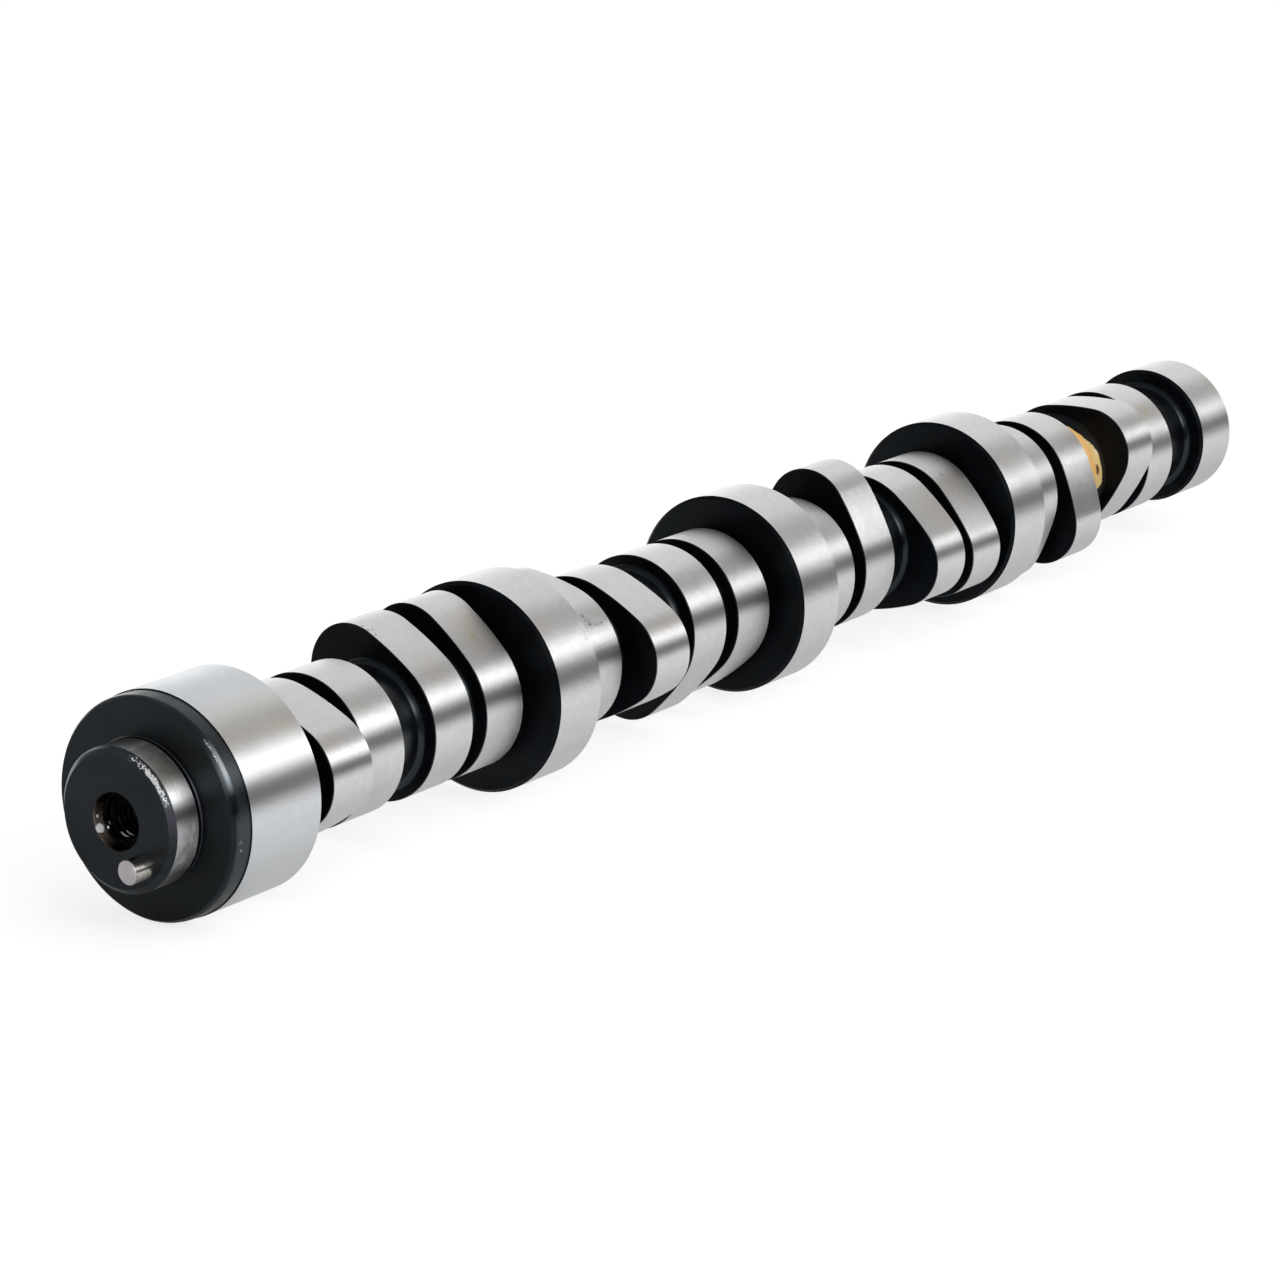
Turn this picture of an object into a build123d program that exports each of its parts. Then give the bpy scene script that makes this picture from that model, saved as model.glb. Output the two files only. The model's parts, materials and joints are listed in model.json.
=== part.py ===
from build123d import *
import math
import os

os.makedirs("parts", exist_ok=True)

# Frame: +X runs along the shaft from the front snout to the rear end and +Z is up.
# The origin is on the shaft's axis, at the middle of the front journal's ground band.

# Bearing journals: the spacing of the bearings and each journal's own size.
BEARING_PITCH = 113.28
FRONT_JOURNAL_D = 58.2
SECOND_JOURNAL_D = 57.8
THIRD_JOURNAL_D = 57.4
FOURTH_JOURNAL_D = 57.0
REAR_JOURNAL_D = 43.63
FRONT_JOURNAL_WIDTH = 25.4
MIDDLE_JOURNAL_WIDTH = 17.2
REAR_JOURNAL_WIDTH = 18.4
JOURNAL_CHAMFER = 0.9

# Where the second journal's ground band starts, and the rear journal's.
SECOND_JOURNAL_START = 109.66
REAR_JOURNAL_START = 463.5

# The unground land ahead of the front journal.
LAND_LENGTH = 6.2
LAND_STEP = 0.3
LAND_CHAMFER = 1.0

# The snout, its relief groove and the collar at its root.
SNOUT_D = 37.2
SNOUT_LENGTH = 10.3
SNOUT_CHAMFER = 1.5
GROOVE_WIDTH = 0.8
GROOVE_DEPTH = 0.7
COLLAR_WIDTH = 0.5
COLLAR_STEP = 0.3

# The centre hole: a tapered mouth, a countersink and the threaded depth.
MOUTH_D = 15.0
MOUTH_END_D = 13.4
MOUTH_DEPTH = 2.5
THREAD_MAJOR_D = 12.0
THREAD_DEPTH = 30.0
DRILL_D = 10.2
DRILL_EXTRA_DEPTH = 5.0
DRILL_POINT_ANGLE = 118.0

# The dowel pin and its place in the snout's face. Inside its hole the press fit squeezes it,
# behind a short taper at the hole's mouth.
DOWEL_D = 6.35
DOWEL_SQUEEZE = 0.03
DOWEL_TAPER = 0.7
DOWEL_OFFSET = 13.05
DOWEL_ANGLE = 136.5
DOWEL_OUT = 6.35
DOWEL_IN = 12.0
DOWEL_EDGE = 0.4

# The core between the lobes, with a bevel at each wall.
CORE_D = 31.8
CORE_BEVEL = 1.4

# Cam lobes: base circle, lifts, nose and flank arcs, and width.
BASE_CIRCLE_D = 41.1
INTAKE_LIFT = 7.45
EXHAUST_LIFT = 7.35
NOSE_RADIUS = 13.9
FLANK_RADIUS = 80.0
LOBE_WIDTH = 15.3

# The four lobes of a bay, from the middle of the bay's front bearing to each lobe's middle.
# The first bearing has its middle at the second journal's start less one pitch.
FIRST_LOBE = 30.28
SECOND_LOBE = 51.32
THIRD_LOBE = 79.04
FOURTH_LOBE = 100.1
LAST_LOBE_EXTRA = 1.6

# Nose directions when cylinder 1 fires, in degrees from +Z towards -Y.
ODD_EXHAUST_PHASE = 83.6
EVEN_INTAKE_PHASE = 178.6
ODD_INTAKE_PHASE = -30.9
EVEN_EXHAUST_PHASE = -67.1
FIRING_ORDER = (1, 8, 4, 3, 6, 5, 7, 2)
TURN_PER_FIRING = 360.0 / len(FIRING_ORDER)

# The rear end's centre drilling.
CENTRE_MOUTH_D = 9.0
CENTRE_PILOT_D = 4.0
CENTRE_PILOT_DEPTH = 4.0

# Places along X that follow from the sizes above.
FRONT_START = -FRONT_JOURNAL_WIDTH / 2
LAND_START = FRONT_START - LAND_LENGTH
SNOUT_START = LAND_START - SNOUT_LENGTH
REAR_END = REAR_JOURNAL_START + REAR_JOURNAL_WIDTH
FIRST_BEARING = SECOND_JOURNAL_START - BEARING_PITCH
BAY_COUNT = 4


def journal_spans():
    """Start, end and radius of each journal's ground band."""
    spans = [(FRONT_START, FRONT_START + FRONT_JOURNAL_WIDTH, FRONT_JOURNAL_D / 2)]
    for number, diameter in enumerate((SECOND_JOURNAL_D, THIRD_JOURNAL_D, FOURTH_JOURNAL_D)):
        start = SECOND_JOURNAL_START + number * BEARING_PITCH
        spans.append((start, start + MIDDLE_JOURNAL_WIDTH, diameter / 2))
    spans.append((REAR_JOURNAL_START, REAR_END, REAR_JOURNAL_D / 2))
    return spans


def lobe_list():
    """Start, end, nose direction and lift of each of the sixteen lobes, front to rear."""
    places = (
        (FIRST_LOBE, ODD_EXHAUST_PHASE, EXHAUST_LIFT, 1),
        (SECOND_LOBE, EVEN_INTAKE_PHASE, INTAKE_LIFT, 2),
        (THIRD_LOBE, ODD_INTAKE_PHASE, INTAKE_LIFT, 1),
        (FOURTH_LOBE, EVEN_EXHAUST_PHASE, EXHAUST_LIFT, 2),
    )
    lobes = []
    for bay in range(BAY_COUNT):
        for offset, phase, lift, bank in places:
            cylinder = 2 * bay + bank
            turn = phase - TURN_PER_FIRING * FIRING_ORDER.index(cylinder)
            middle = FIRST_BEARING + bay * BEARING_PITCH + offset
            lobes.append([middle - LOBE_WIDTH / 2, middle + LOBE_WIDTH / 2, turn, lift])
    lobes[-1][0] += LAST_LOBE_EXTRA
    lobes[-1][1] += LAST_LOBE_EXTRA
    return lobes


def lobe_outline(lift):
    """Base circle, two flank arcs and a nose arc, with the nose towards +Y of the sketch."""
    base = BASE_CIRCLE_D / 2
    nose_at = base + lift - NOSE_RADIUS
    to_flank = FLANK_RADIUS - base
    nose_to_flank = FLANK_RADIUS - NOSE_RADIUS
    cosine = (to_flank**2 + nose_at**2 - nose_to_flank**2) / (2 * to_flank * nose_at)
    sine = math.sqrt(1 - cosine**2)
    flank_centre = Vector(to_flank * sine, to_flank * cosine)
    nose_centre = Vector(0, nose_at)
    left_base = flank_centre * (-base / to_flank)
    to_nose = (nose_centre - flank_centre).normalized()
    left_nose = flank_centre + to_nose * FLANK_RADIUS
    left_middle = (left_base + left_nose) * 0.5
    out = (left_middle - flank_centre).normalized()
    left_flank = flank_centre + out * FLANK_RADIUS
    right_base = Vector(-left_base.X, left_base.Y)
    right_nose = Vector(-left_nose.X, left_nose.Y)
    right_flank = Vector(-left_flank.X, left_flank.Y)
    top = Vector(0, base + lift)
    bottom = Vector(0, -base)
    with BuildSketch() as outline:
        with BuildLine():
            ThreePointArc(right_base, bottom, left_base)
            ThreePointArc(left_base, left_flank, left_nose)
            ThreePointArc(left_nose, top, right_nose)
            ThreePointArc(right_nose, right_flank, right_base)
        make_face()
    return outline.sketch


def lobe_solid(start, end, turn, lift):
    """One lobe, turned to its nose direction."""
    solid = extrude(lobe_outline(lift), end - start)
    # The sketch's normal becomes +X and its nose direction becomes +Z.
    across = Plane(origin=(start, 0, 0), x_dir=(0, 1, 0), z_dir=(1, 0, 0))
    return Rot(turn, 0, 0) * (across * solid)


def neck(start, end):
    """Points of one neck of the core between two walls, with a bevel at each wall."""
    radius = CORE_D / 2
    bevel = min(CORE_BEVEL, (end - start) * 0.2)
    return [
        (start, radius + bevel),
        (start + bevel, radius),
        (end - bevel, radius),
        (end, radius + bevel),
    ]


def turned_body():
    """Snout, journals and necks as one turned shape, with a plain core inside the lobes."""
    journals = journal_spans()
    lobes = lobe_list()
    snout_r = SNOUT_D / 2
    land_r = FRONT_JOURNAL_D / 2 - LAND_STEP
    groove_end = LAND_START - COLLAR_WIDTH
    groove_start = groove_end - GROOVE_WIDTH
    groove_r = snout_r - GROOVE_DEPTH
    collar_r = snout_r + COLLAR_STEP
    # The snout and the land, up to the front journal.
    points = [
        (SNOUT_START, 0),
        (SNOUT_START, snout_r - SNOUT_CHAMFER),
        (SNOUT_START + SNOUT_CHAMFER, snout_r),
        (groove_start, snout_r),
        (groove_start, groove_r),
        (groove_end, groove_r),
        (groove_end, collar_r),
        (LAND_START, collar_r),
        (LAND_START, land_r - LAND_CHAMFER),
        (LAND_START + LAND_CHAMFER, land_r),
        (FRONT_START, land_r),
        (FRONT_START, FRONT_JOURNAL_D / 2),
    ]
    for number in range(BAY_COUNT):
        start, end, radius = journals[number]
        next_start, next_end, next_radius = journals[number + 1]
        # The band's rear edge and its chamfer.
        points += [(end, radius), (end + JOURNAL_CHAMFER, radius - JOURNAL_CHAMFER)]
        # The bay behind it: a neck before each lobe and one before the next journal.
        bay = lobes[4 * number : 4 * number + 4]
        neck_starts = [end + JOURNAL_CHAMFER] + [lobe[1] for lobe in bay]
        neck_ends = [lobe[0] for lobe in bay] + [next_start - JOURNAL_CHAMFER]
        for neck_start, neck_end in zip(neck_starts, neck_ends):
            points += neck(neck_start, neck_end)
        # The next journal's front chamfer.
        points += [(neck_ends[-1], next_radius - JOURNAL_CHAMFER), (next_start, next_radius)]
    # The rear journal's end.
    rear_r = REAR_JOURNAL_D / 2
    points += [(REAR_END - JOURNAL_CHAMFER, rear_r), (REAR_END, rear_r - JOURNAL_CHAMFER)]
    points += [(REAR_END, 0)]
    return turned(points)


def turned(points):
    """A shape turned about the X axis, from the points of its half section."""
    with BuildSketch(Plane.XZ) as section:
        with BuildLine():
            Polyline(*points, close=True)
        make_face()
    return revolve(section.sketch, Axis.X)


def centre_hole():
    """Tapered mouth, countersink, threaded wall and drilled end."""
    bore_r = THREAD_MAJOR_D / 2
    drill_r = DRILL_D / 2
    mouth_end = SNOUT_START + MOUTH_DEPTH
    sink_end = mouth_end + (MOUTH_END_D / 2 - bore_r)
    thread_end = sink_end + THREAD_DEPTH
    drill_end = thread_end + DRILL_EXTRA_DEPTH
    point = drill_r / math.tan(math.radians(DRILL_POINT_ANGLE / 2))
    slope = (MOUTH_D - MOUTH_END_D) / 2 / MOUTH_DEPTH
    ahead = 1.0
    points = [
        (SNOUT_START - ahead, 0),
        (SNOUT_START - ahead, MOUTH_D / 2 + slope * ahead),
        (mouth_end, MOUTH_END_D / 2),
        (sink_end, bore_r),
        (thread_end, bore_r),
        (thread_end, drill_r),
        (drill_end, drill_r),
        (drill_end + point, 0),
    ]
    return turned(points)


def rear_centre():
    """The centre drilling in the rear end."""
    mouth_r = CENTRE_MOUTH_D / 2
    pilot_r = CENTRE_PILOT_D / 2
    cone = (mouth_r - pilot_r) * math.sqrt(3)
    points = [
        (REAR_END + 1, 0),
        (REAR_END + 1, mouth_r + 1 / math.sqrt(3)),
        (REAR_END - cone, pilot_r),
        (REAR_END - cone - CENTRE_PILOT_DEPTH, pilot_r),
        (REAR_END - cone - CENTRE_PILOT_DEPTH - pilot_r * 0.6, 0),
    ]
    return turned(points)


def dowel():
    """The pin: its free end, the short taper at the hole's mouth and the pressed end."""
    free_r = DOWEL_D / 2
    pressed_r = (DOWEL_D - DOWEL_SQUEEZE) / 2
    tip = SNOUT_START - DOWEL_OUT
    bottom = SNOUT_START + DOWEL_IN
    points = [
        (tip, 0),
        (tip, free_r - DOWEL_EDGE),
        (tip + DOWEL_EDGE, free_r),
        (SNOUT_START, free_r),
        (SNOUT_START + DOWEL_TAPER, pressed_r),
        (bottom - DOWEL_EDGE, pressed_r),
        (bottom, pressed_r - DOWEL_EDGE),
        (bottom, 0),
    ]
    angle = math.radians(DOWEL_ANGLE)
    place = (0, -DOWEL_OFFSET * math.sin(angle), DOWEL_OFFSET * math.cos(angle))
    return Pos(*place) * turned(points)


# The shaft: the turned body with its lobes, then the holes. The dowel pin fills its own hole.
dowel_pin = dowel()
camshaft = turned_body()
for lobe in lobe_list():
    camshaft = camshaft.fuse(lobe_solid(*lobe))
camshaft = camshaft.cut(centre_hole(), rear_centre(), dowel_pin)

export_step(camshaft, "parts/camshaft.step")
export_step(dowel_pin, "parts/dowel_pin.step")
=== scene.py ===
import json
import math

import bpy
import numpy as np
from mathutils import Matrix, Vector


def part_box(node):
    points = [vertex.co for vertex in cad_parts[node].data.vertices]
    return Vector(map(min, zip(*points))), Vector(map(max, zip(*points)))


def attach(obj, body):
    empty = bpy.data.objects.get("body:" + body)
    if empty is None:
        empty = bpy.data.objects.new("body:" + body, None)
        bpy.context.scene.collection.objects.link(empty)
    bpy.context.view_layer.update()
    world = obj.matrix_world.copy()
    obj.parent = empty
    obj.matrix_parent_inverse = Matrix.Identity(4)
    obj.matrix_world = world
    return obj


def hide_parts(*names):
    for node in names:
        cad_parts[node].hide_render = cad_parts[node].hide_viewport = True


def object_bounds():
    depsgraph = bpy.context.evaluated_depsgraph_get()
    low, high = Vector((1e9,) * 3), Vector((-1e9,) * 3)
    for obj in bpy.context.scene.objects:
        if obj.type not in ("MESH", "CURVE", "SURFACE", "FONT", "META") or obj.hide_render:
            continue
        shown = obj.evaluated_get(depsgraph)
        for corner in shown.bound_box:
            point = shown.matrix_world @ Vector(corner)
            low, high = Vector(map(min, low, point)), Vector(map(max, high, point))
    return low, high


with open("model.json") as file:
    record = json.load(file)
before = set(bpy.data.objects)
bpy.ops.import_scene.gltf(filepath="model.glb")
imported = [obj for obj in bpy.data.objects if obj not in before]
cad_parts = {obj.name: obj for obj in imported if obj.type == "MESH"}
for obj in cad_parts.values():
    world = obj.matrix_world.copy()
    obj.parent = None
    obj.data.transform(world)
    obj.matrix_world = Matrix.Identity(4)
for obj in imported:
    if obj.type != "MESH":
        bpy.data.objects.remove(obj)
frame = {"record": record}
CAD_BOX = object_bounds()

# Lengths are in millimetres unless a name or a comment says otherwise. The shaft's axis is X.
# A turn is in degrees round it, from straight up towards the camera's side.
MM = 0.001
MOUNTS = {mount["name"]: mount for mount in frame["record"]["mounts"]}


def read_journal(name):
    """Start, end and radius of a journal's ground band."""
    mount = MOUNTS[name]
    middle = mount["pos_m"][0] / MM
    half = mount["dims"]["length_mm"] / 2
    return middle - half, middle + half, mount["dims"]["r_mm"]


# Taken from the frame.
JOURNALS = [
    read_journal(place + "_journal") for place in ("front", "second", "third", "fourth", "rear")
]
SNOUT_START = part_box("camshaft")[0][0] / MM
REAR_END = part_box("camshaft")[1][0] / MM
LAND_START = MOUNTS["thrust_face"]["pos_m"][0] / MM
SNOUT_R = MOUNTS["snout"]["dims"]["r_mm"]
BORE_R = MOUNTS["centre_thread"]["dims"]["r_mm"]
BORE_DEPTH = MOUNTS["centre_thread"]["dims"]["length_mm"]
BORE_START = MOUNTS["centre_thread"]["pos_m"][0] / MM - BORE_DEPTH / 2
PIN_R = MOUNTS["dowel_end"]["dims"]["r_mm"]
PIN_CENTRE = [value / MM for value in MOUNTS["dowel_end"]["pos_m"][1:]]
PIN_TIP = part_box("dowel_pin")[0][0] / MM
PIN_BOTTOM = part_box("dowel_pin")[1][0] / MM

# The snout, its groove and collar, and the land.
SNOUT_CHAMFER = 1.5
GROOVE_WIDTH = 0.8
GROOVE_DEPTH = 0.7
COLLAR_WIDTH = 0.5
COLLAR_STEP = 0.3
COLLAR_EDGE = 0.15
LAND_STEP = 0.3
LAND_CHAMFER = 1.0
# Behind its chamfer the land is rounded over: how far back, and how much lower.
LAND_ROUNDING = ((0.8, 0.36), (1.3, 0.18), (1.9, 0.06), (2.6, 0.0))

# The centre hole. A drill's point is as long as this share of its radius.
MOUTH_R = 7.5
MOUTH_END_R = 6.7
MOUTH_DEPTH = 2.5
MOUTH_EDGE = 0.3
DRILL_R = 5.1
DRILL_EXTRA_DEPTH = 5.0
DRILL_POINT = 0.6

# The thread's ridge: half its width at the root and at the crest, where it starts, and how far
# it is sunk into the wall.
THREAD_PITCH = 1.75
HALF_ROOT = THREAD_PITCH * 0.44
HALF_CREST = THREAD_PITCH * 0.07
THREAD_START = BORE_START + THREAD_PITCH * 0.35
THREAD_SINK = 0.02
THREAD_STEPS = 60

# The dowel pin: its broken edge, and how deep in the snout its taper starts.
PIN_EDGE = 0.4
PIN_TAPER_DEPTH = 0.2

# The core between the walls. A narrow gap has smaller fillets of fewer steps.
CORE_R = 15.9
CORE_FILLET = 2.0
FILLET_SHARE = 0.25
WIDE_STEPS, NARROW_STEPS = 6, 4

# The journals' chamfer, and the rear end's centre drilling.
JOURNAL_CHAMFER = 0.9
CENTRE_MOUTH_R = 4.5
CENTRE_PILOT_R = 2.0
CENTRE_PILOT_DEPTH = 4.0
CENTRE_SLOPE = math.sqrt(3)

# The lobes.
BASE_CIRCLE_R = 20.55
INTAKE_LIFT = 7.45
EXHAUST_LIFT = 7.35
NOSE_RADIUS = 13.9
FLANK_RADIUS = 80.0
LOBE_WIDTH = 15.3
LOBE_EDGE = 0.22
LAST_LOBE_EXTRA = 1.6
FIRING_ORDER = (1, 8, 4, 3, 6, 5, 7, 2)
BAY_COUNT = 4
# Offset from the bay's front bearing, nose direction when cylinder 1 fires, lift and bank.
BAY_LOBES = (
    (30.28, 83.6, EXHAUST_LIFT, 1),
    (51.32, 178.6, INTAKE_LIFT, 2),
    (79.04, -30.9, INTAKE_LIFT, 1),
    (100.1, -67.1, EXHAUST_LIFT, 2),
)

RING_POINTS = 288
ANGLES = np.arange(RING_POINTS) * 2 * math.pi / RING_POINTS

# Material places in the body's list.
GROUND, BLACK, CORE, FACE, LAND, SNOUT_FACE, SNOUT_EDGE, MOUTH, BORE = range(9)

# The camera: where it stands in metres, its directions and its lens.
CAMERA_AT = (-0.7496, -0.6875, 0.33394)
CAMERA_RIGHT = (0.59314, -0.8051, 0.0)
CAMERA_UP = (0.22558, 0.1662, 0.95994)
CAMERA_FORWARD = (0.77285, 0.56938, -0.2802)
CAMERA_LENS = 121.666


def make_camera():
    data = bpy.data.cameras.new("camera")
    data.sensor_fit = "HORIZONTAL"
    data.sensor_width = 36.0
    data.lens = CAMERA_LENS
    data.clip_start = 0.01
    data.clip_end = 50.0
    camera = bpy.data.objects.new("camera", data)
    bpy.context.scene.collection.objects.link(camera)
    back = -Vector(CAMERA_FORWARD)
    turn = Matrix((CAMERA_RIGHT, CAMERA_UP, back)).transposed()
    camera.matrix_world = Matrix.Translation(CAMERA_AT) @ turn.to_4x4()
    bpy.context.scene.camera = camera


# Helpers for node trees.


class Nodes:
    """Short calls for building one node tree. A mask is 1 where it holds and 0 elsewhere."""

    def __init__(self, tree):
        self.tree = tree

    def add(self, kind, inputs=(), **settings):
        node = self.tree.nodes.new(kind)
        for name, value in settings.items():
            setattr(node, name, value)
        for name, value in dict(inputs).items():
            self.put(node.inputs[name], value)
        return node

    def put(self, socket, value):
        if isinstance(value, bpy.types.NodeSocket):
            self.tree.links.new(value, socket)
        else:
            socket.default_value = value

    def math(self, operation, *values):
        node = self.add("ShaderNodeMath", operation=operation)
        for socket, value in zip(node.inputs, values):
            self.put(socket, value)
        return node.outputs[0]

    def join(self, operation, values):
        """One operation over any number of values, from left to right."""
        result = values[0]
        for value in values[1:]:
            result = self.math(operation, result, value)
        return result

    def times(self, *values):
        return self.join("MULTIPLY", values)

    def plus(self, *values):
        return self.join("ADD", values)

    def minus(self, first, second):
        return self.math("SUBTRACT", first, second)

    def either(self, *masks):
        """The strongest of several masks."""
        return self.join("MAXIMUM", masks)

    def scale(self, value, low, high, to_low=0.0, to_high=1.0):
        inputs = {"Value": value, "From Min": low, "From Max": high}
        inputs.update({"To Min": to_low, "To Max": to_high})
        return self.add("ShaderNodeMapRange", inputs, interpolation_type="SMOOTHSTEP").outputs[0]

    def mix(self, factor, first, second):
        """A mix of two colours, which are sockets 6 and 7 of the node."""
        node = self.add("ShaderNodeMix", data_type="RGBA")
        self.put(node.inputs[0], factor)
        self.put(node.inputs[6], first)
        self.put(node.inputs[7], second)
        return node.outputs[2]

    def separate(self, vector):
        return self.add("ShaderNodeSeparateXYZ", {"Vector": vector}).outputs

    def combine(self, x, y, z):
        return self.add("ShaderNodeCombineXYZ", {"X": x, "Y": y, "Z": z}).outputs[0]

    def bump(self, height, strength, distance):
        inputs = {"Height": height, "Strength": strength, "Distance": distance}
        return self.add("ShaderNodeBump", inputs).outputs[0]

    def place(self):
        """The point in the object's own space, in metres."""
        return self.add("ShaderNodeTexCoord").outputs["Object"]

    def along(self):
        """Millimetres along the shaft."""
        return self.math("DIVIDE", self.separate(self.place())[0], MM)

    def turn(self, vector=None):
        """Degrees round the shaft."""
        y, z = self.separate(vector or self.place())[1:]
        return self.times(self.math("ARCTAN2", self.times(y, -1.0), z), 180 / math.pi)

    def from_axis(self):
        """Distance from the shaft's axis in metres."""
        y, z = self.separate(self.place())[1:]
        return self.math("SQRT", self.plus(self.times(y, y), self.times(z, z)))

    def radius(self):
        """Distance from the shaft's axis in millimetres."""
        return self.math("DIVIDE", self.from_axis(), MM)

    def around(self, along_x, round_axis, outward=0.0):
        """Coordinates for marks that run round the shaft: scaled x, angle and radius."""
        x, y, z = self.separate(self.place())
        angle = self.math("ARCTAN2", y, z)
        return self.combine(
            self.times(x, along_x),
            self.times(angle, round_axis),
            self.times(self.from_axis(), outward),
        )

    def noise(self, vector, scale, detail=2.0, roughness=0.5):
        inputs = {"Vector": vector, "Scale": scale, "Detail": detail, "Roughness": roughness}
        return self.add("ShaderNodeTexNoise", inputs).outputs["Fac"]

    def clouds(self, scale, detail=2.0, roughness=0.5):
        """Noise that looks the same in every direction."""
        return self.noise(self.place(), scale, detail, roughness)

    def dots(self, scale, size, share):
        """Small round dots at random places, a share of them left out."""
        inputs = {"Vector": self.place(), "Scale": scale, "Randomness": 1.0}
        cells = self.add("ShaderNodeTexVoronoi", inputs)
        round_dot = self.scale(cells.outputs["Distance"], size * 0.6, size, 1.0, 0.0)
        lottery = self.separate(cells.outputs["Color"])[0]
        return self.times(round_dot, self.scale(lottery, share - 0.02, share + 0.02))

    def between(self, value, low, high, soft):
        """1 where the value lies between two limits, with soft ends."""
        rising = self.scale(value, low - soft, low + soft)
        falling = self.scale(value, high - soft, high + soft, 1.0, 0.0)
        return self.times(rising, falling)

    def near(self, point, radius, softness=0.6):
        """1 at a point, falling to 0 at the radius. Both are given in metres."""
        node = self.add("ShaderNodeVectorMath", operation="DISTANCE")
        self.put(node.inputs[0], self.place())
        node.inputs[1].default_value = point
        inner = radius * (1.0 - softness)
        return self.scale(node.outputs["Value"], inner, radius, 1.0, 0.0)

    def patch(self, x, turn, half_x, half_turn):
        """1 at a place on the shaft, falling to 0 at half the patch's length and turn."""
        across = self.minus(self.separate(self.place())[0], x * MM)
        across = self.math("DIVIDE", across, half_x * MM)
        along = self.math("DIVIDE", self.minus(self.turn(), turn), half_turn)
        squares = self.plus(self.times(across, across), self.times(along, along))
        return self.scale(squares, 0.35, 1.0, 1.0, 0.0)

    def patches(self, places):
        return self.either(*[self.patch(*place) for place in places])

    def points(self, places, softness=0.6):
        """Masks round points on the shaft: x, radius and turn of each, and its size in metres."""
        masks = [self.near(on_shaft(*place[:3]), place[3], softness) for place in places]
        return self.either(*masks)


def on_shaft(x, radius, turn):
    """A point in metres from its x, radius and turn."""
    angle = math.radians(turn)
    return (x * MM, -radius * math.sin(angle) * MM, radius * math.cos(angle) * MM)


def rgb(red, green, blue):
    return (red, green, blue, 1.0)


def material(name):
    """A new material with one Principled shader, and the helper for its tree."""
    made = bpy.data.materials.new(name)
    made.use_nodes = True
    tree = made.node_tree
    tree.nodes.clear()
    nodes = Nodes(tree)
    shader = nodes.add("ShaderNodeBsdfPrincipled")
    output = nodes.add("ShaderNodeOutputMaterial")
    tree.links.new(shader.outputs[0], output.inputs["Surface"])
    return made, nodes, shader


def turned(nodes, shader, share):
    """Stretches the gloss across the fine marks that run round the shaft."""
    shader.inputs["Anisotropic"].default_value = share
    shader.inputs["Anisotropic Rotation"].default_value = 0.25
    tangent = nodes.add("ShaderNodeTangent", direction_type="RADIAL", axis="X")
    nodes.put(shader.inputs["Tangent"], tangent.outputs[0])


# Ground steel.

STEEL_DARK, STEEL_LIGHT = rgb(0.745, 0.747, 0.75), rgb(0.855, 0.857, 0.861)
STEEL_MOTTLE = rgb(0.69, 0.69, 0.69)
STEEL_YELLOWED = rgb(0.77, 0.725, 0.65)
# The front end's cooler tone, and the warm tone of a band of painted light.
FRONT_COOL, FRONT_PAINTED_WARM_LIGHT = rgb(0.755, 0.78, 0.805), rgb(0.765, 0.755, 0.695)
LIGHT_RUST = rgb(0.64, 0.5, 0.22)
PIT_BROWN = rgb(0.09, 0.075, 0.06)
SCUFFED = rgb(0.3, 0.285, 0.26)
BROWN_FILM = rgb(0.4, 0.345, 0.28)
# A near-black grey for painted shade on the snout's far side.
SNOUT_PAINTED_SHADE = rgb(0.1, 0.1, 0.105)

# Small pits on the fifth lobe, and faint ones at the second journal's rear edge: x, turn, half
# length and half turn.
PIT_ROWS = (
    (138.8, 44.0, 0.6, 4.5),
    (139.5, 49.5, 0.9, 2.6),
    (142.2, 52.1, 3.1, 2.0),
)
FAINT_PITS = (125.4, 58.0, 1.7, 5.0)
# Lone specks: x, radius, turn, and size in metres.
SPECKS = (
    (68.7, 26.0, -9.1, 0.0004),
    (68.5, 25.1, -4.6, 0.0004),
    (69.8, 24.8, -3.5, 0.0003),
    (69.0, 24.0, 0.2, 0.0003),
    (78.4, 27.7, -22.5, 0.0004),
    (320.9, 20.55, 33.4, 0.0005),
)
# Yellowed patches and spots of light rust, in the same form.
YELLOWED = (
    (98.7, 22.5, 22.0, 0.011),
    (438.0, 20.6, 41.0, 0.006),
    (393.0, 20.6, 30.0, 0.005),
    (75.0, 24.0, 40.0, 0.008),
    (323.0, 20.9, 45.0, 0.007),
)
RUST_SPOTS = (
    (96.6, 21.15, 29.7, 0.0019),
    (438.6, 20.55, 42.5, 0.0016),
    (323.5, 21.1, 61.4, 0.0008),
)


def pit_marks(nodes):
    dots = nodes.dots(2900.0, 0.56, 0.12)
    rows = nodes.either(nodes.patches(PIT_ROWS), nodes.times(nodes.patch(*FAINT_PITS), 0.5))
    return nodes.either(nodes.times(dots, rows), nodes.times(nodes.points(SPECKS), 0.7))


def warm_stains(nodes):
    """Patches where the ground steel has yellowed, and wide faint ones all over."""
    broken = nodes.scale(nodes.clouds(260.0, 3.0, 0.6), 0.36, 0.6)
    wide = nodes.scale(nodes.clouds(55.0), 0.5, 0.72, 0.0, 0.35)
    return nodes.either(nodes.times(broken, nodes.points(YELLOWED, 0.8)), wide)


def rust_spots(nodes):
    grain = nodes.scale(nodes.clouds(1300.0), 0.46, 0.6, 0.12, 1.0)
    return nodes.times(nodes.points(RUST_SPOTS, 0.7), grain)


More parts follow.
